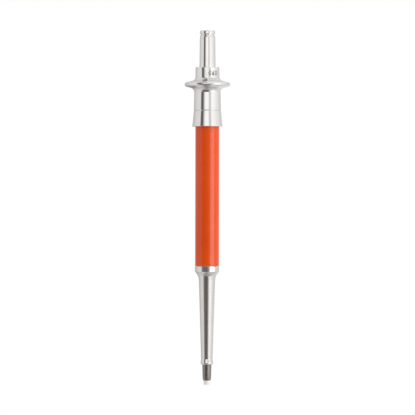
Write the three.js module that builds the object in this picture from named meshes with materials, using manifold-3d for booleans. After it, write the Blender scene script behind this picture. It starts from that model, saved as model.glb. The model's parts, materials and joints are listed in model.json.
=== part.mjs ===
// A fixed-volume metal hand pipette. A polished plunger runs through a finger flange into an
// enamelled handle; below it a tapered steel nose ends in a tip holder with a white sealed nose.
// Inside are the piston, its seal, three springs and the stops that divide the stroke.
//
// Millimetres, +Z up along the axis. Heights are measured up from the end of the nose, and the
// last group moves the origin up to where the finger flange rests in a stand.

import * as THREE from "three";
import { mergeVertices } from "three/addons/utils/BufferGeometryUtils.js";
import Module from "manifold-3d";

const wasm = await Module();
wasm.setup();

// ---------------------------------------------------------------- driving dimensions

const OUTER_SIDES = 32; // facets round the outside shells
const INNER_SIDES = 20; // facets round the pieces inside
const RING_SIDES = 8; // facets round the section of an O-ring
const ARC_STEP = THREE.MathUtils.degToRad(26); // largest turn between two points of a rounding
const FACE_GAP = 0.1; // between two faces that meet
const RUN_GAP = 0.08; // radial clearance of a running or pressed fit
const EDGE = 0.2; // plain edge break

const FLANGE_SEAT = 181; // height of the flange's underside where a stand carries it

// The plunger's three stages: measuring stroke, blow-out, and pushing the tip off.
const STROKE = { measure: 10.2, blowOut: 3, eject: 4.8 };

const PISTON = { radius: 1.25, foot: 13.5, top: 66.4 };
const SEAL = { radius: 1.92, noseRound: 0.35, headRadius: 2.45, headFoot: 20, top: 23 };
const HOLDER = {
  foot: 2.6,
  lip: 2.05,
  shoulder: 2.55,
  shoulderHeight: 0.9,
  shoulderRound: 0.7,
  top: 12.3,
  rim: 2.83,
  bore: 2,
  shank: 2.65,
  shankTop: 19.9,
};
const PACKING = { radius: 2.6, ring: 0.6, washer: 0.8, springFoot: 25.3, springTop: 39.9 };

const CONE = {
  foot: 12.4,
  bead: 3.83,
  beadFoot: 12.75,
  beadCrest: 13.3,
  beadTop: 15.6,
  beadRound: 2,
  waist: 3.5,
  flareFoot: 66.45,
  flareRadius: 5.06,
  flareArc: 7.5,
  collar: 7.4,
  collarFoot: 68.95,
  collarTop: 72.2,
  spigot: 5.5,
  spigotTop: 82,
  packingBore: 2.75,
  packingMouth: 2.95,
  guideFoot: 40,
  guideTop: 44,
  driveBore: 3.6,
};
const GASKET = { foot: 78.6, depth: 0.95, section: 0.5 };

const TUBE = { inner: 5.6, outer: 6.35, foot: 72.3, top: 184 };
const HANDLE = { inner: 6.45, outer: 7.3, foot: 72.4, top: 159.9 };
const SKIRT = {
  foot: 157.5,
  lip: 9.3,
  belly: 8.88,
  bellyHeight: 160.4,
  bellyArc: 12,
  upper: 8.3,
  top: 167.2,
};

const HUB = {
  foot: 167.3,
  top: 193.6,
  neckFoot: 8.3,
  neck: 8,
  crown: 7.3,
  rim: 13.85,
  underArc: 2.7,
  overArc: 2.3,
  rimArc: 1.2,
  rimFoot: 182.11,
  rimTop: 184.12,
  slope: 0.283, // rise of the flange's two faces per millimetre of radius
  mouth: 5.15,
  mouthFoot: 191.5,
};
const BUSHING = { inner: 5, outer: 6.3 };

const CAP = { neck: 4.1, groove: 0.6, radius: 4.65, top: 216, round: 0.7, stub: 3.9, stubFoot: 203 };
const SLEEVE = {
  inner: 4,
  foot: 181,
  radius: 4.9,
  straightTop: 195,
  coneRadius: 4.7,
  coneTop: 211.9,
  shoulderRound: 0.8,
  lip: 4.33,
  top: 213.2,
};
const ROD = { radius: 2, foot: 68.5, top: 209.9 };
const DRIVE = { radius: 3.2, foot: 62.4, top: 72.4 };

const STOP = { radius: 4.6, foot: 133.2, top: 137.1 };
const NUT = { radius: 5.5, bore: 2.3, foot: 137.2, top: 143, lockTop: 146, slotWidth: 1.4, slotDepth: 1.2 };
const SEAT = { top: 84 };
const WASHER = { inner: 3.4, radius: 5.5, foot: 104.1, top: 105.9 };
const CUP = { bore: 3.3, skirt: 3.8, radius: 5.5, flangeFoot: 121.1, top: 122.9 };
const CLIP = { inner: 5, outer: 5.85, thick: 0.8, groove: 5.95, opening: 0.5 }; // opening in radians
const CLIP_FEET = { lower: 106, upper: 123 };
const CLIP_ARC_STEPS = 10;

// Each coil spring: mean radius, wire radius, turns, and the two faces it works between.
const RETURN_SPRING = { mean: 2.75, wire: 0.25, turns: 14, foot: 84.1, top: 133.1 };
const EJECT_SPRING = { mean: 4.6, wire: 0.45, turns: 7, foot: 84.1, top: 104 };
const BLOWOUT_SPRING = { mean: 4.4, wire: 0.35, turns: 6, foot: 106, top: 121 };
const SEAL_SPRING = { mean: 2.1, wire: 0.25, turns: 6, foot: PACKING.springFoot, top: PACKING.springTop };
const CLOSED_PITCH = 2.2; // rise of a closed end turn, in wire radii
const WIRE_ARC_STEPS = 3; // points in each half of the wire section
const STEPS_PER_TURN = 10;

// Each cross pin: radius, length and height.
const PISTON_PIN = { radius: 0.4, length: 6, height: 64.6 };
const COLLAR_PIN = { radius: 0.6, length: 8.8, height: 135.15 };
const CAP_PIN = { radius: 0.6, length: 7.4, height: 206.5 };
const PIN_SIDES = 12;

const FINISH = {
  chrome: { color: 0xdcdddf, roughness: 0.12, metalness: 1 },
  steel: { color: 0xb9b6b2, roughness: 0.25, metalness: 1 },
  springSteel: { color: 0x9a9c9f, roughness: 0.35, metalness: 1 },
  brass: { color: 0xb8965a, roughness: 0.35, metalness: 1 },
  enamel: { color: 0xd04a16, roughness: 0.3, metalness: 0 },
  darkMetal: { color: 0x57504d, roughness: 0.35, metalness: 0.8 },
  whitePolymer: { color: 0xeeece8, roughness: 0.45, metalness: 0 },
  rubber: { color: 0x1d1d1f, roughness: 0.7, metalness: 0 },
};

// ---------------------------------------------------------------- shape helpers

// Turns corners into the points of a profile. A corner is [radius, height] or
// [radius, height, rounding], and a rounding becomes an arc tangent to both sides.
function outline(corners) {
  return corners.flatMap(([r, z, rounding = 0], i) => {
    const corner = new THREE.Vector2(r, z);
    if (rounding === 0) return [corner];
    const sideTo = (other) => new THREE.Vector2(other[0], other[1]).sub(corner).normalize();
    const back = sideTo(corners.at(i - 1));
    const ahead = sideTo(corners[(i + 1) % corners.length]);
    const half = Math.acos(THREE.MathUtils.clamp(back.dot(ahead), -1, 1)) / 2;
    const middle = back.clone().add(ahead).normalize();
    const centre = corner.clone().addScaledVector(middle, rounding / Math.sin(half));
    const start = corner.clone().addScaledVector(back, rounding / Math.tan(half));
    const turn = Math.sign(ahead.cross(back)) * (Math.PI - 2 * half);
    const steps = Math.max(1, Math.ceil(Math.abs(turn) / ARC_STEP));
    const pointAt = (k) => start.clone().rotateAround(centre, (turn * k) / steps);
    return Array.from({ length: steps + 1 }, (_, k) => pointAt(k));
  });
}

// A ring turned from a closed profile, its corners listed anticlockwise with the axis on the left.
function turnedRing(corners, sides) {
  const points = outline(corners);
  return new THREE.LatheGeometry([...points, points[0]], sides).rotateX(Math.PI / 2);
}

// A solid turned from a profile whose first and last corners lie on the axis.
function turnedSolid(corners, sides) {
  return new THREE.LatheGeometry(outline(corners), sides).rotateX(Math.PI / 2);
}

// A plain tube between two heights.
function plainTube(inner, outer, foot, top, sides = INNER_SIDES) {
  return turnedRing([[inner, foot], [outer, foot], [outer, top], [inner, top]], sides);
}

// A ring of round section, such as an O-ring.
function roundRing(mean, section, height) {
  return new THREE.TorusGeometry(mean, section, RING_SIDES, INNER_SIDES).translate(0, 0, height);
}

// The centre line of a coil spring with one closed turn at each end.
class CoilLine extends THREE.Curve {
  constructor(spring) {
    super();
    this.spring = spring;
  }

  getPoint(t, target = new THREE.Vector3()) {
    const { mean, wire, turns, foot, top } = this.spring;
    const closedPitch = CLOSED_PITCH * wire;
    const openPitch = (top - foot - 2 * wire - 2 * closedPitch) / (turns - 2);
    const turn = t * turns;
    const closed = Math.min(turn, 1) + Math.max(turn - turns + 1, 0);
    const open = THREE.MathUtils.clamp(turn - 1, 0, turns - 2);
    const angle = turn * 2 * Math.PI;
    const height = foot + wire + closed * closedPitch + open * openPitch;
    return target.set(mean * Math.cos(angle), mean * Math.sin(angle), height);
  }
}

function coilSpring(spring) {
  const section = new THREE.Shape().absarc(0, 0, spring.wire, 0, 2 * Math.PI);
  return new THREE.ExtrudeGeometry(section, {
    steps: spring.turns * STEPS_PER_TURN,
    curveSegments: WIRE_ARC_STEPS,
    bevelEnabled: false,
    extrudePath: new CoilLine(spring),
  });
}

// A pin across the axis, along X. The hole for it is the same shape with a clearance.
function crossPin({ radius, length, height }, clearance = 0) {
  return new THREE.CylinderGeometry(radius + clearance, radius + clearance, length, PIN_SIDES)
    .rotateZ(Math.PI / 2)
    .translate(0, 0, height);
}

function pinHole(pin) {
  return crossPin({ ...pin, length: 4 * CONE.collar }, RUN_GAP);
}

// A screwdriver slot across the top of a nut.
function driverSlot(top) {
  const { radius, slotWidth, slotDepth } = NUT;
  return new THREE.BoxGeometry(4 * radius, slotWidth, 2 * slotDepth).translate(0, 0, top);
}

function solidOf(geometry) {
  const bare = new THREE.BufferGeometry();
  bare.setAttribute("position", geometry.getAttribute("position"));
  bare.setIndex(geometry.getIndex());
  const merged = mergeVertices(bare, 1e-4);
  return new wasm.Manifold(
    new wasm.Mesh({
      numProp: 3,
      vertProperties: merged.getAttribute("position").array,
      triVerts: new Uint32Array(merged.getIndex().array),
    }),
  );
}

// Cuts the tools out of a geometry.
function cut(geometry, ...tools) {
  const left = tools.reduce((solid, tool) => solid.subtract(solidOf(tool)), solidOf(geometry));
  const mesh = left.getMesh();
  const made = new THREE.BufferGeometry();
  made.setAttribute("position", new THREE.BufferAttribute(mesh.vertProperties, mesh.numProp));
  made.setIndex(new THREE.BufferAttribute(mesh.triVerts, 1));
  made.computeVertexNormals();
  return made;
}

// ---------------------------------------------------------------- nose: holder, seal and cone

// The white seal shows as the nose; its head is held down on the holder's shank.
function pistonSeal() {
  const bore = PISTON.radius + RUN_GAP;
  const { radius, noseRound, headRadius, headFoot, top } = SEAL;
  return turnedRing(
    [
      [bore, 0],
      [radius, 0, noseRound],
      [radius, headFoot],
      [headRadius, headFoot],
      [headRadius, top],
      [bore, top],
    ],
    INNER_SIDES,
  );
}

// The dark holder that a disposable tip is pushed on to.
function tipHolder() {
  const { foot, lip, shoulder, shoulderHeight, shoulderRound, top, rim, bore, shank, shankTop } = HOLDER;
  return turnedRing(
    [
      [bore, foot],
      [lip, foot],
      [shoulder, foot + shoulderHeight, shoulderRound],
      [rim, top],
      [shank, top],
      [shank, shankTop],
      [bore, shankTop],
    ],
    OUTER_SIDES,
  );
}

function noseCone() {
  const c = CONE;
  const gasketTop = GASKET.foot + 2 * GASKET.section + 2 * FACE_GAP;
  const gasketFloor = c.spigot - GASKET.depth;
  return turnedRing(
    [
      [c.packingBore, c.foot + EDGE],
      [c.packingMouth, c.foot],
      [c.waist, c.foot, EDGE / 2],
      [c.bead, c.beadFoot, EDGE],
      [c.bead, c.beadCrest, c.beadRound],
      [c.waist, c.beadTop, c.beadRound],
      [c.flareRadius, c.flareFoot, c.flareArc],
      [c.collar, c.collarFoot],
      [c.collar, c.collarTop],
      [c.spigot, c.collarTop],
      [c.spigot, GASKET.foot],
      [gasketFloor, GASKET.foot],
      [gasketFloor, gasketTop],
      [c.spigot, gasketTop],
      [c.spigot, c.spigotTop],
      [c.driveBore, c.spigotTop],
      [c.driveBore, c.guideTop],
      [PISTON.radius + RUN_GAP, c.guideTop],
      [PISTON.radius + RUN_GAP, c.guideFoot],
      [c.packingBore, c.guideFoot],
    ],
    OUTER_SIDES,
  );
}

function noseGasket() {
  const mean = CONE.spigot - GASKET.depth + GASKET.section + FACE_GAP / 2;
  return roundRing(mean, GASKET.section, GASKET.foot + GASKET.section + FACE_GAP);
}

function sealRing() {
  const mean = PISTON.radius + RUN_GAP + PACKING.ring;
  return roundRing(mean, PACKING.ring, SEAL.top + FACE_GAP + PACKING.ring);
}

function sealWasher() {
  const foot = SEAL.top + 2 * FACE_GAP + 2 * PACKING.ring;
  return plainTube(PISTON.radius + RUN_GAP, PACKING.radius, foot, foot + PACKING.washer);
}

// ---------------------------------------------------------------- handle and flange

// The inner tube is the pipette's backbone; two grooves in its bore hold the snap rings.
function innerTube() {
  const { inner, outer, foot, top } = TUBE;
  const grooves = [CLIP_FEET.upper, CLIP_FEET.lower].flatMap((clip) => [
    [inner, clip + CLIP.thick + FACE_GAP / 2],
    [CLIP.groove, clip + CLIP.thick + FACE_GAP / 2],
    [CLIP.groove, clip - FACE_GAP / 2],
    [inner, clip - FACE_GAP / 2],
  ]);
  return turnedRing([[inner, foot], [outer, foot], [outer, top], [inner, top], ...grooves], INNER_SIDES);
}

function handleSleeve() {
  const { inner, outer, foot, top } = HANDLE;
  return turnedRing(
    [[inner, foot], [outer, foot, EDGE], [outer, top], [inner, top]],
    OUTER_SIDES,
  );
}

// The flared ring under the flange; its mouth slips over the top of the enamelled sleeve.
function skirtRing() {
  const { foot, lip, belly, bellyHeight, bellyArc, upper, top } = SKIRT;
  const mouth = HANDLE.outer + FACE_GAP;
  const mouthTop = HANDLE.top + FACE_GAP;
  return turnedRing(
    [
      [mouth, foot],
      [lip, foot, EDGE],
      [belly, bellyHeight, bellyArc],
      [upper, top],
      [HANDLE.inner, top],
      [HANDLE.inner, mouthTop],
      [mouth, mouthTop],
    ],
    OUTER_SIDES,
  );
}

function flangeHub() {
  const h = HUB;
  const underRoot = h.rimFoot - h.slope * (h.rim - h.neck);
  const overRoot = h.rimTop + h.slope * (h.rim - h.crown);
  return turnedRing(
    [
      [HANDLE.inner, h.foot],
      [h.neckFoot, h.foot],
      [h.neck, underRoot, h.underArc],
      [h.rim, h.rimFoot, h.rimArc],
      [h.rim, h.rimTop, h.rimArc],
      [h.crown, overRoot, h.overArc],
      [h.crown, h.top, 2 * EDGE],
      [h.mouth, h.top],
      [h.mouth, h.mouthFoot],
      [HANDLE.inner, h.mouthFoot],
    ],
    OUTER_SIDES,
  );
}

// ---------------------------------------------------------------- stops fixed in the tube

function calibrationNut() {
  const { radius, bore, foot, top } = NUT;
  return cut(plainTube(bore, radius, foot, top), driverSlot(top));
}

function lockNut() {
  const { radius, bore, top, lockTop } = NUT;
  return cut(plainTube(bore, radius, top + FACE_GAP, lockTop), driverSlot(lockTop));
}

// A snap ring of constant section with an opening, seated in a groove of the tube.
function snapRing(foot) {
  const { inner, outer, thick, opening } = CLIP;
  const from = opening / 2;
  const to = 2 * Math.PI - opening / 2;
  const ring = new THREE.Shape().absarc(0, 0, outer, from, to).absarc(0, 0, inner, to, from, true);
  return new THREE.ExtrudeGeometry(ring, { depth: thick, bevelEnabled: false, curveSegments: CLIP_ARC_STEPS })
    .translate(0, 0, foot);
}

// ---------------------------------------------------------------- plunger

function thumbCap() {
  const c = CAP;
  const collarFoot = SLEEVE.top + FACE_GAP;
  const bore = ROD.radius + RUN_GAP;
  const cap = turnedSolid(
    [
      [0, ROD.top + FACE_GAP],
      [bore, ROD.top + FACE_GAP],
      [bore, c.stubFoot],
      [c.stub, c.stubFoot, EDGE],
      [c.stub, collarFoot],
      [c.neck, collarFoot],
      [c.neck, collarFoot + c.groove],
      [c.radius, collarFoot + c.groove],
      [c.radius, c.top, c.round],
      [0, c.top],
    ],
    OUTER_SIDES,
  );
  return cut(cap, pinHole(CAP_PIN));
}

function plungerSleeve() {
  const { inner, foot, radius, straightTop, coneRadius, coneTop, shoulderRound, lip, top } = SLEEVE;
  return turnedRing(
    [
      [inner, foot],
      [radius, foot, EDGE],
      [radius, straightTop],
      [coneRadius, coneTop, shoulderRound],
      [lip, top],
      [inner, top],
    ],
    OUTER_SIDES,
  );
}

function plungerRod() {
  const { radius, foot, top } = ROD;
  const rod = turnedSolid([[0, foot], [radius, foot], [radius, top], [0, top]], INNER_SIDES);
  return cut(rod, pinHole(COLLAR_PIN), pinHole(CAP_PIN));
}

function stopCollar() {
  const { radius, foot, top } = STOP;
  return cut(plainTube(ROD.radius + RUN_GAP, radius, foot, top), pinHole(COLLAR_PIN));
}

// Joins the rod to the piston: a blind bore from each side, with a web between them.
function pistonHolder() {
  const { radius, foot, top } = DRIVE;
  const lowerBore = PISTON.radius + RUN_GAP;
  const upperBore = ROD.radius + RUN_GAP;
  const body = turnedSolid(
    [
      [0, PISTON.top + FACE_GAP],
      [lowerBore, PISTON.top + FACE_GAP],
      [lowerBore, foot],
      [radius, foot, EDGE],
      [radius, top, EDGE],
      [upperBore, top],
      [upperBore, ROD.foot - FACE_GAP],
      [0, ROD.foot - FACE_GAP],
    ],
    INNER_SIDES,
  );
  return cut(body, pinHole(PISTON_PIN));
}

function piston() {
  const { radius, foot, top } = PISTON;
  const rod = turnedSolid([[0, foot], [radius, foot, EDGE], [radius, top], [0, top]], INNER_SIDES);
  return cut(rod, pinHole(PISTON_PIN));
}

// ---------------------------------------------------------------- spring-loaded stops

// The washer that the heavy spring holds up against its snap ring, past the end of the blow-out.
function ejectWasher() {
  return plainTube(WASHER.inner, WASHER.radius, WASHER.foot, WASHER.top);
}

// The flanged cup that the stop collar meets after the measuring stroke. Its skirt reaches the
// washer below at the end of the blow-out.
function blowoutCup() {
  const { bore, skirt, radius, flangeFoot, top } = CUP;
  const skirtFoot = WASHER.top + STROKE.blowOut + FACE_GAP;
  return turnedRing(
    [
      [bore, skirtFoot],
      [skirt, skirtFoot],
      [skirt, flangeFoot],
      [radius, flangeFoot],
      [radius, top],
      [bore, top],
    ],
    INNER_SIDES,
  );
}

// ---------------------------------------------------------------- assembly

function piece(name, geometry, finish) {
  const mesh = new THREE.Mesh(geometry, new THREE.MeshStandardMaterial(FINISH[finish]));
  mesh.name = name;
  return mesh;
}

function group(...members) {
  return new THREE.Group().add(...members);
}

const nose = group(
  piece("piston_seal", pistonSeal(), "whitePolymer"),
  piece("tip_holder", tipHolder(), "darkMetal"),
  piece("nose_cone", noseCone(), "steel"),
  piece("nose_gasket", noseGasket(), "rubber"),
  piece("seal_ring", sealRing(), "rubber"),
  piece("seal_washer", sealWasher(), "brass"),
  piece("seal_spring", coilSpring(SEAL_SPRING), "springSteel"),
);

const handle = group(
  piece("inner_tube", innerTube(), "steel"),
  piece("handle_sleeve", handleSleeve(), "enamel"),
  piece("skirt_ring", skirtRing(), "chrome"),
  piece("flange_hub", flangeHub(), "chrome"),
  piece(
    "hub_bushing",
    plainTube(BUSHING.inner, BUSHING.outer, TUBE.top + FACE_GAP, HUB.mouthFoot - FACE_GAP, OUTER_SIDES),
    "whitePolymer",
  ),
  piece("spring_seat", plainTube(NUT.bore, NUT.radius, CONE.spigotTop + FACE_GAP, SEAT.top), "brass"),
  piece("lower_snap_ring", snapRing(CLIP_FEET.lower), "springSteel"),
  piece("upper_snap_ring", snapRing(CLIP_FEET.upper), "springSteel"),
  piece("calibration_nut", calibrationNut(), "brass"),
  piece("calibration_lock_nut", lockNut(), "brass"),
);

const plunger = group(
  piece("thumb_cap", thumbCap(), "chrome"),
  piece("plunger_sleeve", plungerSleeve(), "chrome"),
  piece("plunger_rod", plungerRod(), "steel"),
  piece("cap_pin", crossPin(CAP_PIN), "springSteel"),
  piece("stop_collar", stopCollar(), "brass"),
  piece("collar_pin", crossPin(COLLAR_PIN), "springSteel"),
  piece("piston_holder", pistonHolder(), "brass"),
  piece("piston_pin", crossPin(PISTON_PIN), "springSteel"),
  piece("piston", piston(), "chrome"),
);

const stops = group(
  piece("return_spring", coilSpring(RETURN_SPRING), "springSteel"),
  piece("eject_spring", coilSpring(EJECT_SPRING), "springSteel"),
  piece("eject_washer", ejectWasher(), "brass"),
  piece("blowout_spring", coilSpring(BLOWOUT_SPRING), "springSteel"),
  piece("blowout_cup", blowoutCup(), "brass"),
);

const aboveSeat = group(nose, handle, plunger, stops);
aboveSeat.position.z = -FLANGE_SEAT;

export default group(aboveSeat);
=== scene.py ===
"""Looks of a fixed-volume metal hand pipette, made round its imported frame.

Each CAD node is replaced by a finely turned, coiled or swept piece of the same size, with
rounded edges and a material of its own. Profiles are in millimetres; heights are measured up
from the end of the nose, and feet, tops and outer radii come from the frame.
"""

import cmath
import functools
import json
import math

import bmesh
import bpy
from mathutils import Matrix, Vector


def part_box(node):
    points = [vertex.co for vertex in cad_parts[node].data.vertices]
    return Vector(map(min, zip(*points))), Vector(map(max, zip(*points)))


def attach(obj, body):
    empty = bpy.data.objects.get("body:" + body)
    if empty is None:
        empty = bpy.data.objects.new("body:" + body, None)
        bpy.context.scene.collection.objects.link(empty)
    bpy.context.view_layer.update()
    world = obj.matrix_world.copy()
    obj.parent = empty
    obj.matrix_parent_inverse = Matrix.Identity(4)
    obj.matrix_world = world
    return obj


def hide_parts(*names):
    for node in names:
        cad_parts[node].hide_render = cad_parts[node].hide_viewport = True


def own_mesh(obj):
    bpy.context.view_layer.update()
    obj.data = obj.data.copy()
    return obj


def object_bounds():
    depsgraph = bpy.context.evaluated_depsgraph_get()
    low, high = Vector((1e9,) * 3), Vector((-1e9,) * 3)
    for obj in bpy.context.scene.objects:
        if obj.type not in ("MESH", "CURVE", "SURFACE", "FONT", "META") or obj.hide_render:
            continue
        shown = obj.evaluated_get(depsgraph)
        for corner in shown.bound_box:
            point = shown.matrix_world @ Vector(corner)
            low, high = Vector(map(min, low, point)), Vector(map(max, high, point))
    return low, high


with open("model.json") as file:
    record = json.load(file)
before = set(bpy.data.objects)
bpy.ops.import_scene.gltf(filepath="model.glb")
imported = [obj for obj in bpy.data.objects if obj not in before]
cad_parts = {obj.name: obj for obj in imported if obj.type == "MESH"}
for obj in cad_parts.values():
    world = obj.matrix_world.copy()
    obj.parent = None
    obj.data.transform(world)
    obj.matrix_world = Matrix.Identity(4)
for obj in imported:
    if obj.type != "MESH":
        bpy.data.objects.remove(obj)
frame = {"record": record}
cad_low, cad_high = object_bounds()

MM = 0.001
NOSE_END = cad_low.z

# ---------------------------------------------------------------- dimensions, in millimetres

SIDES = 144  # facets round a turned piece
FINE_SIDES = 72  # facets round a small inner piece
ARC_STEP = math.radians(11)  # largest turn between two points of a rounding
ROW = 3.0  # longest stretch of a profile without a point
SUPPORT = 0.05  # an extra point this far from each rounding keeps flat faces flat
SAME_PLACE = 1e-6  # points nearer than this are one point
SHARP = math.radians(40)  # edges that turn more than this are shaded sharp
COIL_SHARP = math.radians(50)
CUT_SHARP = math.radians(30)
CUT_PAST = 1.0  # how far a cutter stands out of the piece it cuts
DRILL_LENGTH = 20.0

# Roundings, from the crispest edge to the softest.
BREAK = 0.05  # a corner that states no rounding
BREAK_SHARE = 0.4  # and at most this share of the shorter edge beside it
CRISP_EDGE = 0.1
FINE_EDGE = 0.12
LIP_EDGE = 0.15
EDGE = 0.2
PIN_END = 0.4  # of the pin's radius

RUN_GAP = 0.08  # round the rod, the piston and the pins
FACE_GAP = 0.1  # between other faces that lie beside each other

SEAL_HEAD = 2.45
SEAL_HEAD_FOOT = 20.0
SEAL_ROUND = 0.35
HOLDER_BORE = 2.0
HOLDER_LIP = 2.05
HOLDER_SHOULDER = 2.55
HOLDER_SHOULDER_HEIGHT = 0.9
HOLDER_SHOULDER_ROUND = 0.7
HOLDER_SHANK = 2.65
HOLDER_SHANK_FOOT = 12.3

BEAD = 3.83
BEAD_FOOT = 12.75
BEAD_CREST = 13.3
BEAD_TOP = 15.6
BEAD_ROUND = 2.0
CONE_WAIST = 3.5
FLARE_FOOT = 66.45
FLARE_RADIUS = 5.06
FLARE_ARC = 7.5
COLLAR_FOOT = 68.95
COLLAR_TOP = 72.2
SPIGOT = 5.5
PACKING_BORE = 2.75
PACKING_MOUTH = 2.95
GUIDE_FOOT = 40.0
GUIDE_TOP = 44.0
DRIVE_BORE = 3.6
GROOVE_DEPTH = 0.95

SKIRT_BELLY = 8.88
SKIRT_BELLY_HEIGHT = 160.4
SKIRT_BELLY_ARC = 12.0
SEAM_ROUND = 0.18

HUB_NECK_FOOT = 8.3
HUB_NECK = 8.0
HUB_CROWN = 7.3
HUB_RIM_FOOT = 182.11
HUB_RIM_TOP = 184.12
HUB_SLOPE = 0.283
HUB_UNDER_ARC = 2.7
HUB_OVER_ARC = 2.3
HUB_RIM_ARC = 1.2
HUB_MOUTH = 5.15
HUB_MOUTH_FOOT = 191.5

CAP_NECK = 4.1
CAP_GROOVE = 0.6
CAP_ROUND = 0.7
CAP_STUB = 3.9
SLEEVE_BORE = 4.0
SLEEVE_STRAIGHT_TOP = 195.0
SLEEVE_BEND = 40.0
SLEEVE_CONE = 4.7
SLEEVE_CONE_TOP = 211.9
SLEEVE_SHOULDER_ROUND = 0.35
SLEEVE_LIP = 4.33
TUBE_BORE = 5.6
TUBE_GROOVE = 5.95
NUT_BORE = 2.3
SLOT_WIDTH = 1.4
SLOT_DEPTH = 1.2
WASHER_BORE = 3.4
CUP_BORE = 3.3
CUP_SKIRT = 3.8
CUP_FLANGE = 1.8
CLIP_BORE = 5.0
CLIP_OPENING = 0.5  # radians

# Coil springs: wire radius, turns, and the joint and travel that go with each, if any; the springs keep
# their length.
SPRINGS = {
    "return_spring": (0.25, 14, "plunger_slide", 18.0),
    "eject_spring": (0.45, 7, "eject_slide", 4.8),
    "blowout_spring": (0.35, 6, "blowout_slide", 3.0),
    "seal_spring": (0.25, 6, None, 0.0),
}
CLOSED_PITCH = 2.2  # rise of a closed end turn, in wire radii
CLOSED_TURNS = 0.7  # part of a turn at each end that stays closed
OPENING_TURNS = 0.8  # over which the pitch then opens
GROUND_HEIGHT = 0.85  # of the wire's middle over its ground end, in wire radii
STEPS_PER_TURN = 36
WIRE_SIDES = 14

# The small etched mark on the crown, a drop between short bars, and the fine scale below it.
MARK_AZIMUTH = math.radians(28.5)
MARK_HEIGHT = 189.9
DROP_WIDTH = 1.9
DROP_TALL = 3.3
DROP_FULLNESS = 0.58
DROP_TAPER = 1.4
BAR_WIDTHS = (1.6, 2.0, 1.6)
BAR_TALL = 0.72
BAR_PITCH = 1.05
BAR_GAP = 0.3
BAR_ROUNDNESS = 0.3  # 0 gives a rectangle, 1 an ellipse
DASHES = 8
DASH_PITCH = 0.75
DASH_WIDTH = 0.5
DASH_TALL = 0.4
DASH_ANGLE = math.radians(36)
MARK_PROUD = 0.012
MARK_DEPTH = 0.05

# ---------------------------------------------------------------- camera and stage, in metres

CAMERA_DISTANCE = 2.0
FIELD = 0.25315  # width of the view at the object
AIM_RIGHT = 0.00018
AIM_UP = 0.0001
LEAN = math.radians(0.12)
SENSOR = 36.0  # millimetres
CLIP_END = 20.0
FLOOR_DROP = 0.3
FLOOR_RADIUS = 3.2
FLOOR_SIDES = 96
FLOOR_SOLID = 0.35  # share of the radius inside which the floor does not fade


# ---------------------------------------------------------------- profiles and meshes

@functools.lru_cache
def span(node):
    """Foot, top and outer radius of a turned CAD node, in millimetres."""
    low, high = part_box(node)
    return (low.z - NOSE_END) / MM, (high.z - NOSE_END) / MM, (high.x - low.x) / 2 / MM


def rounded(before, corner, after, rounding):
    """The points of the arc that rounds a corner; points are complex, radius + height * 1j."""
    arriving = (corner - before) / abs(corner - before)
    leaving = (after - corner) / abs(after - corner)
    turn = cmath.phase(leaving / arriving)
    reach = rounding * math.tan(abs(turn) / 2)
    side = math.copysign(rounding, turn)
    centre = corner - arriving * reach + 1j * arriving * side
    steps = max(2, math.ceil(abs(turn) / ARC_STEP))
    return [centre - 1j * arriving * side * cmath.rect(1, turn * k / steps) for k in range(steps + 1)]


def outline(corners):
    """A profile's points from its corners, which are (radius, height) or (radius, height, rounding)."""
    closed = corners[0][0] > 0
    places = [complex(c[0], c[1]) for c in corners]
    points = []
    for i, corner in enumerate(corners):
        if corner[0] == 0:
            points.append(places[i])
            continue
        before, here, after = places[i - 1], places[i], places[(i + 1) % len(places)]
        shorter = min(abs(here - before), abs(after - here))
        rounding = corner[2] if len(corner) > 2 else min(BREAK, BREAK_SHARE * shorter)
        points += rounded(before, here, after, rounding)
    return with_rows(points, closed)


def with_rows(points, closed):
    """Adds the support points beside the roundings, and rows along the long straight stretches."""
    points = [point for i, point in enumerate(points) if abs(point - points[i - 1]) > SAME_PLACE]
    made = []
    for i, start in enumerate(points):
        made.append(start)
        if i + 1 == len(points) and not closed:
            break
        end = points[(i + 1) % len(points)]
        length = abs(end - start)
        if length < 6 * SUPPORT:
            continue
        ahead = (end - start) / length
        rows = math.ceil(length / ROW)
        made.append(start + ahead * SUPPORT)
        made += [start + ahead * length * k / rows for k in range(1, rows)]
        made.append(end - ahead * SUPPORT)
    return made


def mesh_object(name, vertices, faces, sharp=SHARP):
    """A smooth-shaded object from vertices in millimetres above the nose."""
    mesh = bpy.data.meshes.new(name)
    mesh.from_pydata([(x * MM, y * MM, NOSE_END + z * MM) for x, y, z in vertices], [], faces)
    mesh.validate()
    mesh.shade_smooth()
    mesh.set_sharp_from_angle(angle=sharp)
    made = bpy.data.objects.new(name, mesh)
    bpy.context.scene.collection.objects.link(made)
    return made


def turned(name, corners, sides=SIDES, opening=0.0):
    """A piece turned about the axis. Corners run anticlockwise, and a solid's start and end on the axis.

    With an opening, in radians, the ring is cut there and its two ends are closed.
    """
    points = outline(corners)
    vertices, rings = [], []
    columns = sides if opening == 0 else sides + 1
    for point in points:
        if point.real < SAME_PLACE:
            rings.append([len(vertices)] * columns)
            vertices.append((0.0, 0.0, point.imag))
            continue
        rings.append(list(range(len(vertices), len(vertices) + columns)))
        for k in range(columns):
            angle = opening / 2 + (2 * math.pi - opening) * k / sides
            vertices.append((point.real * math.cos(angle), point.real * math.sin(angle), point.imag))
    closed = corners[0][0] > 0
    faces = []
    for i, lower in enumerate(rings):
        if i + 1 == len(rings) and not closed:
            break
        upper = rings[(i + 1) % len(rings)]
        for k in range(sides):
            after = (k + 1) % columns
            face = [lower[k], lower[after], upper[after], upper[k]]
            faces.append([v for j, v in enumerate(face) if v != face[j - 1]])
    if opening:
        faces.append([ring[0] for ring in rings])
        faces.append([ring[-1] for ring in reversed(rings)])
    return mesh_object(name, vertices, faces)


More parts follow.
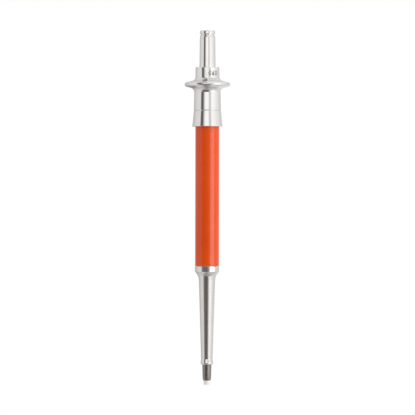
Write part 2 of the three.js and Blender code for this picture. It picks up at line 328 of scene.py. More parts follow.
def tube(name, node, bore, rounding=BREAK, sides=FINE_SIDES):
    """A plain tube or washer that fills its node's box."""
    foot, top, outer = span(node)
    corners = [
        (bore, foot, rounding),
        (outer, foot, rounding),
        (outer, top, rounding),
        (bore, top, rounding),
    ]
    return turned(name, corners, sides)


def round_ring(name, node):
    """An O-ring that fills its node's box."""
    foot, top, outer = span(node)
    section = (top - foot) / 2
    corners = [
        (outer - 2 * section, foot, section),
        (outer, foot, section),
        (outer, top, section),
        (outer - 2 * section, top, section),
    ]
    return turned(name, corners, FINE_SIDES)


def coil(name, node):
    """A coil spring with closed, ground ends, between the foot and top of its node."""
    wire, turns, _, _ = SPRINGS[node]
    foot, top, outer = span(node)
    mean = outer - wire
    steps = turns * STEPS_PER_TURN
    closed_rise = CLOSED_PITCH * wire / STEPS_PER_TURN
    openness = []
    for k in range(steps):
        from_end = min(k, steps - 1 - k) / STEPS_PER_TURN
        ease = min(max((from_end - CLOSED_TURNS) / OPENING_TURNS, 0), 1)
        openness.append(ease * ease * (3 - 2 * ease))
    spare = top - foot - 2 * GROUND_HEIGHT * wire - closed_rise * steps
    height = foot + GROUND_HEIGHT * wire
    vertices, faces = [], []
    for k in range(steps + 1):
        angle = 2 * math.pi * k / STEPS_PER_TURN
        for j in range(WIRE_SIDES):
            around = 2 * math.pi * j / WIRE_SIDES
            radius = mean + wire * math.cos(around)
            level = min(max(height + wire * math.sin(around), foot), top)
            vertices.append((radius * math.cos(angle), radius * math.sin(angle), level))
        if k < steps:
            height += closed_rise + spare * openness[k] / sum(openness)
            for j in range(WIRE_SIDES):
                a = k * WIRE_SIDES + j
                b = k * WIRE_SIDES + (j + 1) % WIRE_SIDES
                faces.append((a, a + WIRE_SIDES, b + WIRE_SIDES, b))
    faces.append(tuple(range(WIRE_SIDES)))
    faces.append(tuple(reversed(range(steps * WIRE_SIDES, (steps + 1) * WIRE_SIDES))))
    return mesh_object(name, vertices, faces, COIL_SHARP)


def lay_along_x(made, start, height):
    """Lays a piece that was turned upwards from the nose along X; start and height are in metres."""
    to_origin = Matrix.Translation((0, 0, -NOSE_END))
    along_x = Matrix.Rotation(math.pi / 2, 4, "Y")
    made.data.transform(Matrix.Translation((start, 0, height)) @ along_x @ to_origin)


def cross_pin(name, node):
    """A pin across the axis along X, with rounded ends, that fills its node's box."""
    low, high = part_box(node)
    length = (high.x - low.x) / MM
    radius = (high.z - low.z) / 2 / MM
    end = PIN_END * radius
    made = turned(name, [(0, 0), (radius, 0, end), (radius, length, end), (0, length)], FINE_SIDES)
    lay_along_x(made, low.x, (low.z + high.z) / 2)
    return made


def cut_with(piece, cutter):
    """Cuts the cutter out of a piece and removes the cutter."""
    boolean = piece.modifiers.new("cut", "BOOLEAN")
    boolean.operation = "DIFFERENCE"
    boolean.solver = "EXACT"
    boolean.object = cutter
    bpy.context.view_layer.update()
    evaluated = piece.evaluated_get(bpy.context.evaluated_depsgraph_get())
    mesh = bpy.data.meshes.new_from_object(evaluated)
    piece.modifiers.clear()
    piece.data = mesh
    mesh.shade_smooth()
    mesh.set_sharp_from_angle(angle=CUT_SHARP)
    bpy.data.objects.remove(cutter)
    return piece


def pin_hole(piece, pin_node):
    """Drills the hole for a cross pin, with a running clearance, right through a piece."""
    low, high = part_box(pin_node)
    radius = (high.z - low.z) / 2 / MM + RUN_GAP
    drill = turned(
        "drill", [(0, 0), (radius, 0), (radius, DRILL_LENGTH), (0, DRILL_LENGTH)], FINE_SIDES
    )
    lay_along_x(drill, -DRILL_LENGTH / 2 * MM, (low.z + high.z) / 2)
    return cut_with(piece, drill)


def driver_slot(piece, node):
    """Cuts a screwdriver slot across the top of a nut."""
    _, top, outer = span(node)
    x, y = outer + CUT_PAST, SLOT_WIDTH / 2
    corners = [(-x, -y), (x, -y), (x, y), (-x, y)]
    levels = (top - SLOT_DEPTH, top + CUT_PAST)
    vertices = [(across, along, level) for level in levels for across, along in corners]
    walls = [(k, (k + 1) % 4, (k + 1) % 4 + 4, k + 4) for k in range(4)]
    return cut_with(piece, mesh_object("slot", vertices, [(3, 2, 1, 0), (4, 5, 6, 7)] + walls))


# ---------------------------------------------------------------- pieces

def piston_bore():
    """Radius of the bores that the piston runs in."""
    return span("piston")[2] + RUN_GAP


def make_piston_seal(name):
    """White seal body: a head held in the nose cone, and the nose that shows."""
    foot, top, _ = span("piston_seal")
    radius = HOLDER_BORE - RUN_GAP
    corners = [
        (piston_bore(), foot, CRISP_EDGE),
        (radius, foot, SEAL_ROUND),
        (radius, SEAL_HEAD_FOOT),
        (SEAL_HEAD, SEAL_HEAD_FOOT),
        (SEAL_HEAD, top),
        (piston_bore(), top),
    ]
    return turned(name, corners, FINE_SIDES)


def make_tip_holder(name):
    """Dark holder, narrower at its foot, that a disposable tip is pushed on to."""
    foot, top, rim = span("tip_holder")
    corners = [
        (HOLDER_BORE, foot),
        (HOLDER_LIP, foot),
        (HOLDER_SHOULDER, foot + HOLDER_SHOULDER_HEIGHT, HOLDER_SHOULDER_ROUND),
        (rim, HOLDER_SHANK_FOOT),
        (HOLDER_SHANK, HOLDER_SHANK_FOOT),
        (HOLDER_SHANK, top),
        (HOLDER_BORE, top),
    ]
    return turned(name, corners)


def make_nose_cone(name):
    """Steel cone: end bead, long taper, flare, collar, and the spigot in the tube."""
    foot, top, collar = span("nose_cone")
    groove_foot = span("nose_gasket")[0] - FACE_GAP
    groove_top = span("nose_gasket")[1] + FACE_GAP
    corners = [
        (PACKING_BORE, foot + EDGE),
        (PACKING_MOUTH, foot),
        (CONE_WAIST, foot, EDGE / 2),
        (BEAD, BEAD_FOOT, EDGE),
        (BEAD, BEAD_CREST, BEAD_ROUND),
        (CONE_WAIST, BEAD_TOP, BEAD_ROUND),
        (FLARE_RADIUS, FLARE_FOOT, FLARE_ARC),
        (collar, COLLAR_FOOT, LIP_EDGE),
        (collar, COLLAR_TOP, FINE_EDGE),
        (SPIGOT, COLLAR_TOP),
        (SPIGOT, groove_foot),
        (SPIGOT - GROOVE_DEPTH, groove_foot),
        (SPIGOT - GROOVE_DEPTH, groove_top),
        (SPIGOT, groove_top),
        (SPIGOT, top),
        (DRIVE_BORE, top),
        (DRIVE_BORE, GUIDE_TOP),
        (piston_bore(), GUIDE_TOP),
        (piston_bore(), GUIDE_FOOT),
        (PACKING_BORE, GUIDE_FOOT),
    ]
    return turned(name, corners)


def make_inner_tube(name):
    """Backbone tube, with a groove in its bore for each snap ring."""
    foot, top, outer = span("inner_tube")
    corners = [(TUBE_BORE, foot), (outer, foot), (outer, top), (TUBE_BORE, top)]
    for clip in ("upper_snap_ring", "lower_snap_ring"):
        clip_foot, clip_top, _ = span(clip)
        for level in (clip_top + FACE_GAP / 2, clip_foot - FACE_GAP / 2):
            pair = [(TUBE_BORE, level), (TUBE_GROOVE, level)]
            corners += pair if level > clip_top else reversed(pair)
    return turned(name, corners)


def make_handle_sleeve(name):
    """Enamelled tube over the backbone."""
    foot, top, outer = span("handle_sleeve")
    bore = span("inner_tube")[2] + FACE_GAP
    return turned(name, [(bore, foot), (outer, foot, EDGE), (outer, top, EDGE), (bore, top)])


def make_skirt_ring(name):
    """Flared ring under the hub, over the top of the handle."""
    foot, top, lip = span("skirt_ring")
    sleeve_top, sleeve = span("handle_sleeve")[1:]
    bore = span("inner_tube")[2] + FACE_GAP
    corners = [
        (sleeve + FACE_GAP, foot),
        (lip, foot, LIP_EDGE),
        (SKIRT_BELLY, SKIRT_BELLY_HEIGHT, SKIRT_BELLY_ARC),
        (HUB_NECK_FOOT, top, SEAM_ROUND),
        (bore, top),
        (bore, sleeve_top + FACE_GAP),
        (sleeve + FACE_GAP, sleeve_top + FACE_GAP),
    ]
    return turned(name, corners)


def make_flange_hub(name):
    """Hub, finger flange and crown in one, with a mouth for the plunger."""
    foot, top, rim = span("flange_hub")
    bore = span("inner_tube")[2] + FACE_GAP
    corners = [
        (bore, foot),
        (HUB_NECK_FOOT, foot, SEAM_ROUND),
        (HUB_NECK, HUB_RIM_FOOT - HUB_SLOPE * (rim - HUB_NECK), HUB_UNDER_ARC),
        (rim, HUB_RIM_FOOT, HUB_RIM_ARC),
        (rim, HUB_RIM_TOP, HUB_RIM_ARC),
        (HUB_CROWN, HUB_RIM_TOP + HUB_SLOPE * (rim - HUB_CROWN), HUB_OVER_ARC),
        (HUB_CROWN, top, 2 * EDGE),
        (HUB_MOUTH, top, EDGE),
        (HUB_MOUTH, HUB_MOUTH_FOOT),
        (bore, HUB_MOUTH_FOOT),
    ]
    return turned(name, corners)


def make_hub_bushing(name):
    """Guide of the plunger sleeve in the hub."""
    return tube(name, "hub_bushing", span("plunger_sleeve")[2] + FACE_GAP, LIP_EDGE)


def make_thumb_cap(name):
    """Cap with a narrow groove under it and a stub in the sleeve, bored for the rod."""
    foot, top, outer = span("thumb_cap")
    rod_top, rod = span("plunger_rod")[1:]
    collar_foot = span("plunger_sleeve")[1] + FACE_GAP
    corners = [
        (0, rod_top + FACE_GAP),
        (rod + RUN_GAP, rod_top + FACE_GAP),
        (rod + RUN_GAP, foot),
        (CAP_STUB, foot, EDGE),
        (CAP_STUB, collar_foot),
        (CAP_NECK, collar_foot),
        (CAP_NECK, collar_foot + CAP_GROOVE, FINE_EDGE),
        (outer, collar_foot + CAP_GROOVE, FINE_EDGE),
        (outer, top, CAP_ROUND),
        (0, top),
    ]
    return pin_hole(turned(name, corners), "cap_pin")


def make_plunger_sleeve(name):
    """Sleeve of the plunger: straight, then gently tapered to its shoulder."""
    foot, top, outer = span("plunger_sleeve")
    corners = [
        (SLEEVE_BORE, foot),
        (outer, foot, EDGE),
        (outer, SLEEVE_STRAIGHT_TOP, SLEEVE_BEND),
        (SLEEVE_CONE, SLEEVE_CONE_TOP, SLEEVE_SHOULDER_ROUND),
        (SLEEVE_LIP, top),
        (SLEEVE_BORE, top),
    ]
    return turned(name, corners)


def make_plunger_rod(name):
    """Rod with cross holes for the pins of the cap and the collar."""
    foot, top, outer = span("plunger_rod")
    rod = turned(name, [(0, foot), (outer, foot, EDGE), (outer, top, EDGE), (0, top)], FINE_SIDES)
    return pin_hole(pin_hole(rod, "cap_pin"), "collar_pin")


def make_stop_collar(name):
    """Collar on the rod that meets the stops."""
    bore = span("plunger_rod")[2] + RUN_GAP
    return pin_hole(tube(name, "stop_collar", bore, FINE_EDGE), "collar_pin")


def make_piston_holder(name):
    """Holder that joins the rod above to the piston below."""
    foot, top, outer = span("piston_holder")
    rod_foot, _, rod = span("plunger_rod")
    piston_top = span("piston")[1]
    corners = [
        (0, piston_top + FACE_GAP),
        (piston_bore(), piston_top + FACE_GAP),
        (piston_bore(), foot),
        (outer, foot, EDGE),
        (outer, top, EDGE),
        (rod + RUN_GAP, top),
        (rod + RUN_GAP, rod_foot - FACE_GAP),
        (0, rod_foot - FACE_GAP),
    ]
    return pin_hole(turned(name, corners, FINE_SIDES), "piston_pin")


def make_piston(name):
    """Polished piston with the hole of its pin."""
    foot, top, outer = span("piston")
    rod = turned(name, [(0, foot), (outer, foot, EDGE), (outer, top, EDGE), (0, top)], FINE_SIDES)
    return pin_hole(rod, "piston_pin")


def make_blowout_cup(name):
    """First stop: a cup with a flange at its top."""
    foot, top, outer = span("blowout_cup")
    corners = [
        (CUP_BORE, foot),
        (CUP_SKIRT, foot),
        (CUP_SKIRT, top - CUP_FLANGE),
        (outer, top - CUP_FLANGE, CRISP_EDGE),
        (outer, top, CRISP_EDGE),
        (CUP_BORE, top),
    ]
    return turned(name, corners, FINE_SIDES)


def make_snap_ring(name, node):
    """Open ring of spring steel."""
    foot, top, outer = span(node)
    corners = [(CLIP_BORE, foot), (outer, foot), (outer, top), (CLIP_BORE, top)]
    return turned(name, corners, FINE_SIDES, CLIP_OPENING)


def make_nut(name, node):
    """Round nut with a slot for a screwdriver."""
    return driver_slot(tube(name, node, NUT_BORE, FINE_EDGE), node)


MAKERS = {
    "piston_seal": make_piston_seal,
    "tip_holder": make_tip_holder,
    "nose_cone": make_nose_cone,
    "nose_gasket": lambda name: round_ring(name, "nose_gasket"),
    "seal_ring": lambda name: round_ring(name, "seal_ring"),
    "seal_washer": lambda name: tube(name, "seal_washer", piston_bore()),
    "inner_tube": make_inner_tube,
    "handle_sleeve": make_handle_sleeve,
    "skirt_ring": make_skirt_ring,
    "flange_hub": make_flange_hub,
    "hub_bushing": make_hub_bushing,
    "spring_seat": lambda name: tube(name, "spring_seat", NUT_BORE),
    "lower_snap_ring": lambda name: make_snap_ring(name, "lower_snap_ring"),
    "upper_snap_ring": lambda name: make_snap_ring(name, "upper_snap_ring"),
    "calibration_nut": lambda name: make_nut(name, "calibration_nut"),
    "calibration_lock_nut": lambda name: make_nut(name, "calibration_lock_nut"),
    "thumb_cap": make_thumb_cap,
    "plunger_sleeve": make_plunger_sleeve,
    "plunger_rod": make_plunger_rod,
    "cap_pin": lambda name: cross_pin(name, "cap_pin"),
    "stop_collar": make_stop_collar,
    "collar_pin": lambda name: cross_pin(name, "collar_pin"),
    "piston_holder": make_piston_holder,
    "piston_pin": lambda name: cross_pin(name, "piston_pin"),
    "piston": make_piston,
    "eject_washer": lambda name: tube(name, "eject_washer", WASHER_BORE),
    "blowout_cup": make_blowout_cup,
    **{node: (lambda name, node=node: coil(name, node)) for node in SPRINGS},
}


# ---------------------------------------------------------------- the etched mark

def drop_outline(points=56):
    """A falling drop: a round belly that narrows to a tip at the top."""
    made = []
    for k in range(points):
        angle = 2 * math.pi * k / points
        width = math.sin(angle) * math.sin(angle / 2) ** DROP_TAPER
        made.append((DROP_FULLNESS * DROP_WIDTH * width, DROP_TALL / 2 * math.cos(angle)))
    return made


def bar_outline(width, height, points=40):
    """A bar with soft corners."""
    made = []
    for k in range(points):
        angle = 2 * math.pi * k / points
        across, up = math.cos(angle), math.sin(angle)
        across = math.copysign(abs(across) ** BAR_ROUNDNESS, across)
        up = math.copysign(abs(up) ** BAR_ROUNDNESS, up)
        made.append((width / 2 * across, height / 2 * up))
    return made


def on_crown(across, up, proud):
    """A point on the crown, a distance across and up from the mark's middle."""
    azimuth = MARK_AZIMUTH + across / HUB_CROWN
    radius = HUB_CROWN + proud
    return radius * math.sin(azimuth), -radius * math.cos(azimuth), MARK_HEIGHT + up


def on_root(across, up, proud):
    """A point on the hollow round between the crown and the flange, below the mark."""
    rim = span("flange_hub")[2]
    slant = math.atan(HUB_SLOPE)
    reach = HUB_OVER_ARC * math.tan((math.pi / 2 - slant) / 2)
    centre_radius = HUB_CROWN + HUB_OVER_ARC
    centre_height = HUB_RIM_TOP + HUB_SLOPE * (rim - HUB_CROWN) + reach
    angle = DASH_ANGLE - up / HUB_OVER_ARC
    radius = centre_radius - (HUB_OVER_ARC - proud) * math.cos(angle)
    height = centre_height - (HUB_OVER_ARC - proud) * math.sin(angle)
    azimuth = MARK_AZIMUTH + across / radius
    return radius * math.sin(azimuth), -radius * math.cos(azimuth), height


def etched_shape(vertices, faces, place, middle, points, rings=6):
    """Adds one thin inlay that follows the metal: a fan of rings with a wall down its edge."""
    first = len(vertices)
    count = len(points)
    across, up = middle
    vertices.append(place(across, up, MARK_PROUD))
    for ring in range(1, rings + 1):
        share = ring / rings
        vertices += [place(across + x * share, up + y * share, MARK_PROUD) for x, y in points]
    vertices += [place(across + x, up + y, -MARK_DEPTH) for x, y in points]
    for k in range(count):
        after = (k + 1) % count
        faces.append((first, first + 1 + k, first + 1 + after))
        for ring in range(rings):
            low = first + 1 + ring * count
            faces.append((low + k, low + count + k, low + count + after, low + after))
    faces.append(tuple(first + 1 + rings * count + k for k in reversed(range(count))))


def make_etched_mark(name):
    """A drop between two stacks of bars, and a row of dashes below them."""
    vertices, faces = [], []
    etched_shape(vertices, faces, on_crown, (0, 0), drop_outline())
    for side in (-1, 1):
        for k, width in enumerate(BAR_WIDTHS):
            across = DROP_WIDTH / 2 + BAR_GAP + width / 2
            up = BAR_PITCH * ((len(BAR_WIDTHS) - 1) / 2 - k)
            etched_shape(vertices, faces, on_crown, (side * across, up), bar_outline(width, BAR_TALL))
    for k in range(DASHES):
        across = DASH_PITCH * (k - (DASHES - 1) / 2)
        etched_shape(vertices, faces, on_root, (across, 0), bar_outline(DASH_WIDTH, DASH_TALL))
    return mesh_object(name, vertices, faces)


# ---------------------------------------------------------------- materials

# Noise scales are per metre on the piece, and bump heights are in metres.

class Tree:
    """A short way to add nodes to a node tree."""

    def __init__(self, tree):
        self.tree = tree

    def add(self, kind, inputs=None, **settings):
        made = self.tree.nodes.new("ShaderNode" + kind)
        for key, value in settings.items():
            setattr(made, key, value)
        for key, value in (inputs or {}).items():
            self.put(made, key, value)
        return made

    def put(self, target, key, value):
        socket = target.inputs[key]
        if isinstance(value, bpy.types.NodeSocket):
            self.tree.links.new(value, socket)
        else:
            socket.default_value = value

    def math(self, operation, first, second=0.0):
        return self.add("Math", {0: first, 1: second}, operation=operation).outputs[0]

    def ramp(self, value, low, high, to_low=0.0, to_high=1.0, smooth=True):
        """The value, carried from low..high to to_low..to_high."""
        made = self.add(
            "MapRange",
            {"Value": value, "From Min": low, "From Max": high, "To Min": to_low, "To Max": to_high},
            interpolation_type="SMOOTHSTEP" if smooth else "LINEAR",
        )
        return made.outputs["Result"]

    def noise(self, stretch, scale, detail=3.0, roughness=0.55):
        """Noise on the piece's own coordinates, scaled along each axis by stretch."""
        place = self.add("TexCoord").outputs["Object"]
        mapped = self.add("Mapping", {"Vector": place, "Scale": stretch}).outputs[0]
        made = self.add(
            "TexNoise",
            {"Vector": mapped, "Scale": scale, "Detail": detail, "Roughness": roughness},
        )
        return made.outputs["Fac"]

    def mix(self, share, first, second):
        made = self.add("Mix", {"Factor": share, "A": first, "B": second}, data_type="RGBA")
        return made.outputs["Result"]

    def bump(self, height, distance, normal=None):
        inputs = {"Height": height, "Distance": distance, "Strength": 1.0}
        if normal is not None:
            inputs["Normal"] = normal
        return self.add("Bump", inputs).outputs[0]


def new_material(name):
    """A material with its tree helper and its shader."""
    made = bpy.data.materials.new(name)
    made.use_nodes = True
    return made, Tree(made.node_tree), made.node_tree.nodes["Principled BSDF"]


def rgba(colour):
    return (*colour, 1.0)


ALL_ROUND = (1.0, 1.0, 1.0)
TURNING = (1.0, 1.0, 90.0)  # squeezed along the axis, so that noise becomes lines round the piece
DRAWING = (30.0, 30.0, 1.0)  # squeezed across the axis, so that noise becomes hairlines along it


def metal(name, light, dark, gloss, smudge, line_height, peel_height):
    """Turned metal: fine lines round the piece, faint smudges, hairline scratches and worn edges.

    Gloss is the roughness of the clean metal, and smudge is what a smudge adds to it.
    """
    made, tree, shader = new_material(name)
    smudges = tree.noise(ALL_ROUND, 110.0, 4.0, 0.6)
    lines = tree.noise(TURNING, 90.0, 2.0)
    hairs = tree.ramp(tree.noise(DRAWING, 60.0, 3.0, 0.7), 0.66, 0.74)
    peel = tree.noise(ALL_ROUND, 900.0, 2.0)
    edges = tree.ramp(tree.add("NewGeometry").outputs["Pointiness"], 0.5, 0.6)
    tone = tree.mix(tree.ramp(smudges, 0.35, 0.75), rgba(light), rgba(dark))
    tree.put(shader, "Base Color", tree.mix(tree.math("MULTIPLY", edges, 0.4), tone, rgba(light)))
    roughness = tree.ramp(smudges, 0.4, 0.75, gloss, gloss + smudge)
    roughness = tree.math("ADD", roughness, tree.math("MULTIPLY", hairs, 0.05))
    roughness = tree.math("ADD", roughness, tree.ramp(lines, 0.3, 0.7, 0.0, 0.02))
    tree.put(shader, "Roughness", roughness)
    normal = tree.bump(peel, peel_height)
    tree.put(shader, "Normal", tree.bump(lines, line_height, normal))
    shader.inputs["Metallic"].default_value = 1.0
    return made


def enamel(name, colour, deep):
    """Baked enamel: even colour with slight clouding, painted shade along its sharply rounded edges, a faint
    orange peel and a glossy coat.
    """
    made, tree, shader = new_material(name)
    cloud = tree.noise(ALL_ROUND, 45.0, 4.0, 0.6)
    speck = tree.noise(ALL_ROUND, 2600.0, 2.0)
    peel = tree.noise(ALL_ROUND, 750.0, 2.0)
    hairs = tree.ramp(tree.noise(DRAWING, 45.0, 3.0, 0.7), 0.67, 0.75)
    # Painted shade: on sharply rounded edges the colour goes halfway to the deep tone, a dark line along the
    # ends of the handle where it meets the metal.
    edges = tree.ramp(tree.add("NewGeometry").outputs["Pointiness"], 0.505, 0.58)
    tone = tree.mix(tree.ramp(cloud, 0.3, 0.75), rgba(colour), rgba(deep))
    tone = tree.mix(tree.ramp(speck, 0.55, 0.9, 0.0, 0.12), tone, rgba(deep))
    tree.put(shader, "Base Color", tree.mix(tree.math("MULTIPLY", edges, 0.5), tone, rgba(deep)))
    roughness = tree.ramp(cloud, 0.3, 0.8, 0.34, 0.44)
    tree.put(shader, "Roughness", tree.math("ADD", roughness, tree.math("MULTIPLY", hairs, 0.12)))
    normal = tree.bump(peel, 1.2e-6)
    tree.put(shader, "Normal", normal)
    tree.put(shader, "Coat Normal", normal)
    shader.inputs["Specular IOR Level"].default_value = 0.0
    shader.inputs["Coat Weight"].default_value = 1.0
    shader.inputs["Coat IOR"].default_value = 1.5
    shader.inputs["Coat Roughness"].default_value = 0.06
    return made


def polymer(name, colour, shade):
    """Turned white polymer: waxy, with faint clouding and tool lines."""
    made, tree, shader = new_material(name)
    cloud = tree.noise(ALL_ROUND, 200.0, 3.0)
    lines = tree.noise(TURNING, 70.0, 2.0)
    tree.put(shader, "Base Color", tree.mix(tree.ramp(cloud, 0.3, 0.8), rgba(colour), rgba(shade)))
    tree.put(shader, "Roughness", tree.ramp(lines, 0.3, 0.7, 0.40, 0.52))
    tree.put(shader, "Normal", tree.bump(lines, 4e-7))
    return made


def rubber(name):
    """Moulded rubber with a dusty bloom."""
    made, tree, shader = new_material(name)
    bloom = tree.noise(ALL_ROUND, 500.0, 4.0)
    tree.put(shader, "Base Color", tree.mix(bloom, rgba((0.010, 0.010, 0.011)), rgba((0.030, 0.030, 0.032))))
    tree.put(shader, "Roughness", tree.ramp(bloom, 0.3, 0.7, 0.5, 0.7))
    tree.put(shader, "Normal", tree.bump(tree.noise(ALL_ROUND, 4000.0, 2.0), 4e-6))
    return made


def etch(name):
    """The floor of an etched mark: dull, dark and slightly stained."""
    made, tree, shader = new_material(name)
    stain = tree.noise(ALL_ROUND, 2500.0, 3.0)
    tree.put(shader, "Base Color", tree.mix(stain, rgba((0.30, 0.29, 0.25)), rgba((0.46, 0.45, 0.40))))
    tree.put(shader, "Roughness", tree.ramp(stain, 0.3, 0.7, 0.5, 0.7))
    tree.put(shader, "Normal", tree.bump(stain, 2e-6))
    shader.inputs["Metallic"].default_value = 0.6
    return made


LOOKS = {
    "chrome": metal(
        "polished_chrome",
        light=(0.88, 0.88, 0.88),
        dark=(0.84, 0.84, 0.84),
        gloss=0.05,
        smudge=0.03,
        line_height=1e-7,
        peel_height=3e-7,
    ),
    "turned_steel": metal(
        "turned_steel",
        light=(0.84, 0.82, 0.81),
        dark=(0.79, 0.77, 0.76),
        gloss=0.09,
        smudge=0.04,
        line_height=2e-7,
        peel_height=4e-7,
    ),
    "spring_steel": metal(
        "spring_steel",
        light=(0.46, 0.47, 0.48),
        dark=(0.36, 0.37, 0.38),
        gloss=0.25,
        smudge=0.10,
        line_height=5e-7,
        peel_height=1e-6,
    ),
    "brass": metal(
        "machined_brass",
        light=(0.62, 0.43, 0.17),
        dark=(0.47, 0.31, 0.11),
        gloss=0.20,
        smudge=0.12,
        line_height=8e-7,
        peel_height=8e-7,
    ),
    "orange_enamel": enamel("orange_enamel", (0.84, 0.083, 0.004), (0.77, 0.069, 0.003)),
    "dark_metal": metal(
        "dark_plated_metal",
        light=(0.34, 0.31, 0.295),
        dark=(0.28, 0.25, 0.24),
        gloss=0.25,
        smudge=0.06,
        line_height=3e-7,
        peel_height=6e-7,
    ),
    "white_polymer": polymer("white_polymer", (0.93, 0.915, 0.89), (0.88, 0.86, 0.83)),
    "rubber": rubber("seal_rubber"),
}


# ---------------------------------------------------------------- dressing the frame

def paint(piece, material):
    piece.data.materials.clear()
    piece.data.materials.append(material)


def dress():
    """Makes every piece, and puts it on its node's body and material slot."""
    body_of = {}
    for body, nodes in frame["record"]["behaviour"]["bodies"].items():
        body_of.update({node: body for node in nodes})
    slot_of = {row["node"]: row["material_slot"] for row in frame["record"]["subparts"]}
    for node, maker in MAKERS.items():
        piece = maker(node + "_fine")
        paint(piece, LOOKS[slot_of[node]])
        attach(piece, body_of[node])
        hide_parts(node)
        if node in SPRINGS:
            shorten(piece, node)


def shorten(piece, node):
    """Gives a working spring a mesh of its own; nothing shortens it as its joint moves."""
    _, _, joint, travel = SPRINGS[node]
    if joint is None:
        return
    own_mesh(piece)


dress()
mark = make_etched_mark("etched_mark")
paint(mark, etch("etched_mark"))
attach(mark, "barrel")


# ---------------------------------------------------------------- studio

# The light round the object in four rings, one above the other. Each ring has the elevation of
# its foot and the softness of that edge, in degrees, the tint of its dim parts, and its radiance
# by azimuth, in degrees from the camera towards the right: white panels with dark gaps between.
GROUND_RING = [
    (-180, 0.38),
    (-165, 0.44),
    (-120, 0.62),
    (-90, 0.68),
    (-64, 0.56),
    (-50, 0.38),
    (-42, 0.30),
    (-28, 0.30),
    (-12, 0.36),
    (8, 0.38),
    (30, 0.44),
    (50, 0.50),
    (80, 0.60),
    (120, 0.60),
    (165, 0.54),
    (180, 0.46),
]
LOW_RING = [
    (-180, 0.30),
    (-168, 0.32),
    (-155, 0.52),
    (-120, 0.64),
    (-94, 0.75),
    (-60, 0.80),
    (-54, 0.62),
    (-47, 0.24),
    (-38, 0.19),
    (-26, 0.15),
    (-6, 0.115),
    (5, 0.17),
    (13, 0.30),
    (20, 0.55),
    (30, 0.94),
    (40, 1.06),
    (56, 1.06),
    (72, 0.93),
    (95, 0.80),
    (120, 0.74),
    (180, 0.80),
]
FRONT_RING = [
    (-180, 0.62),
    (-160, 0.52),
    (-148, 0.56),
    (-122, 0.64),
    (-104, 0.76),
    (-60, 0.80),
    (-52, 0.12),
    (-38, 0.12),
    (-27, 0.60),
    (-17, 1.08),
    (8, 1.08),
    (15, 0.70),
    (24, 0.60),
    (32, 0.98),
    (38, 1.06),
    (60, 1.06),
    (70, 0.96),
    (88, 0.90),
    (104, 0.84),
    (120, 0.74),
    (140, 0.66),
    (180, 0.70),
]
HIGH_RING = [
    (-180, 0.74),
    (-66, 0.76),
    (-57, 0.50),
    (-49, 0.16),
    (-31, 0.13),
    (-22, 0.42),
    (-12, 0.76),
    (0, 0.88),
    (26, 0.90),
    (60, 0.92),
    (140, 0.90),
    (180, 0.84),
]
RINGS = [
    (-90, 1.0, (1.0, 0.96, 0.92), GROUND_RING),
    (-45, 7.0, (1.0, 0.87, 0.79), LOW_RING),
    (1.75, 0.3, (1.0, 0.96, 0.90), FRONT_RING),
    (29, 2.0, (1.0, 0.96, 0.90), HIGH_RING),
]
WARMTH = (1.0, 0.985, 0.955)  # tint of the bright parts
BRIGHT = 0.6  # radiance from which a part counts as bright
# Patches over the rings: azimuth from and to, elevation from and to, softness, and radiance.
PATCHES = [
    (31, 71, -1.9, 1.6, 0.3, 2.9),
    (-70, 4, 43, 66, 3.0, 0.85),
    (-128, -2, 66, 100, 3.0, 0.10),
]
FILL_AZIMUTH = math.radians(68)
FILL_HEIGHT = 0.25
FILL_DISTANCE = 1.2
FILL_SIZE = 0.9
FILL_POWER = 4.2


def window(tree, value, low, high, soft):
    """One where the value lies between low and high, easing to zero over soft."""
    rising = tree.ramp(value, low - soft, low + soft)
    falling = tree.ramp(value, high - soft, high + soft, 1.0, 0.0)
    return tree.math("MULTIPLY", rising, falling)


def glow(radiance, dim=WARMTH):
    """A radiance with its tint, which goes over to the warm white as it grows bright."""
    share = min(radiance / BRIGHT, 1.0)
    return rgba([radiance * (low + (high - low) * share) for low, high in zip(dim, WARMTH)])


def ring_of_light(tree, azimuth, dim, stops):
    """The colour of one ring, by azimuth."""
    made = tree.add("ValToRGB", {0: tree.ramp(azimuth, -180, 180, 0.0, 1.0, smooth=False)})
    elements = made.color_ramp.elements
    while len(elements) < len(stops):
        elements.new(0.5)
    for element, (degrees, radiance) in zip(elements, stops):
        element.position = (degrees + 180) / 360
        element.color = glow(radiance, dim)
    return made.outputs["Color"]


def make_world():
    """White to the camera; to everything else, rings of light with patches over them."""
    world = bpy.data.worlds.new("studio")
    bpy.context.scene.world = world
    world.use_nodes = True
    tree = Tree(world.node_tree)
    background = world.node_tree.nodes["Background"]
    way = tree.add("SeparateXYZ", {0: tree.add("TexCoord").outputs["Generated"]})  # a direction
    behind = tree.math("MULTIPLY", way.outputs["Y"], -1.0)
    azimuth = tree.math("DEGREES", tree.math("ARCTAN2", way.outputs["X"], behind))
    elevation = tree.math("DEGREES", tree.math("ARCSINE", way.outputs["Z"]))
    colour = rgba(WARMTH)
    for foot, soft, dim, stops in RINGS:
        share = tree.ramp(elevation, foot - soft, foot + soft)
        colour = tree.mix(share, colour, ring_of_light(tree, azimuth, dim, stops))
    for left, right, low, high, soft, radiance in PATCHES:
        share = tree.math(
            "MULTIPLY",
            window(tree, azimuth, left, right, soft),
            window(tree, elevation, low, high, soft),
        )
        colour = tree.mix(share, colour, glow(radiance))
    seen = tree.add("LightPath").outputs["Is Camera Ray"]
    tree.put(background, "Color", tree.mix(seen, colour, rgba((1.0, 1.0, 1.0))))


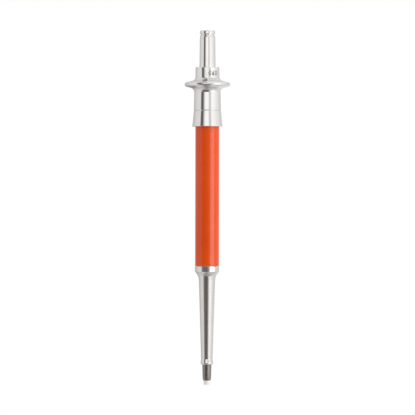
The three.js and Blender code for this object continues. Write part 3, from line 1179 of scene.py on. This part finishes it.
def make_fill():
    """A large soft lamp on the right that lifts painted surfaces and is not mirrored in the metal."""
    lamp = bpy.data.lights.new("fill", "AREA")
    lamp.shape = "DISK"
    lamp.size = FILL_SIZE
    lamp.energy = FILL_POWER
    fill = bpy.data.objects.new("fill", lamp)
    centre = (cad_low + cad_high) / 2
    across, towards = math.sin(FILL_AZIMUTH), -math.cos(FILL_AZIMUTH)
    away = Vector((FILL_DISTANCE * across, FILL_DISTANCE * towards, FILL_HEIGHT))
    fill.location = centre + away
    fill.rotation_euler = away.to_track_quat("Z", "Y").to_euler()
    fill.visible_glossy = False
    bpy.context.scene.collection.objects.link(fill)


def make_floor():
    """A pale round floor, well below the nose, that fades out at its edge."""
    mesh = bpy.data.meshes.new("floor")
    shape = bmesh.new()
    bmesh.ops.create_circle(shape, cap_ends=True, segments=FLOOR_SIDES, radius=FLOOR_RADIUS)
    shape.to_mesh(mesh)
    shape.free()
    floor = bpy.data.objects.new("floor", mesh)
    floor.location.z = NOSE_END - FLOOR_DROP
    bpy.context.scene.collection.objects.link(floor)
    made, tree, shader = new_material("pale_floor")
    place = tree.add("TexCoord").outputs["Object"]
    out = tree.add("VectorMath", {0: place}, operation="LENGTH").outputs["Value"]
    cloud = tree.noise(ALL_ROUND, 3.0)
    tone = tree.mix(cloud, rgba((0.93, 0.93, 0.93)), rgba((0.90, 0.90, 0.90)))
    tree.put(shader, "Base Color", tone)
    fade = tree.ramp(out, FLOOR_SOLID * FLOOR_RADIUS, FLOOR_RADIUS, 1.0, 0.0)
    tree.put(shader, "Alpha", fade)
    shader.inputs["Roughness"].default_value = 0.8
    paint(floor, made)
    floor.visible_glossy = False


def make_camera():
    """A long lens level with the middle of the object."""
    centre = (cad_low + cad_high) / 2
    data = bpy.data.cameras.new("camera")
    data.sensor_width = SENSOR
    data.lens = data.sensor_width * CAMERA_DISTANCE / FIELD
    data.clip_end = CLIP_END
    camera = bpy.data.objects.new("camera", data)
    camera.location = centre + Vector((AIM_RIGHT, -CAMERA_DISTANCE, AIM_UP))
    camera.rotation_euler = (math.pi / 2, -LEAN, 0)
    bpy.context.scene.collection.objects.link(camera)
    bpy.context.scene.camera = camera


make_world()
make_fill()
make_floor()
make_camera()
bpy.context.scene.view_settings.view_transform = "Standard"

bpy.context.view_layer.update()
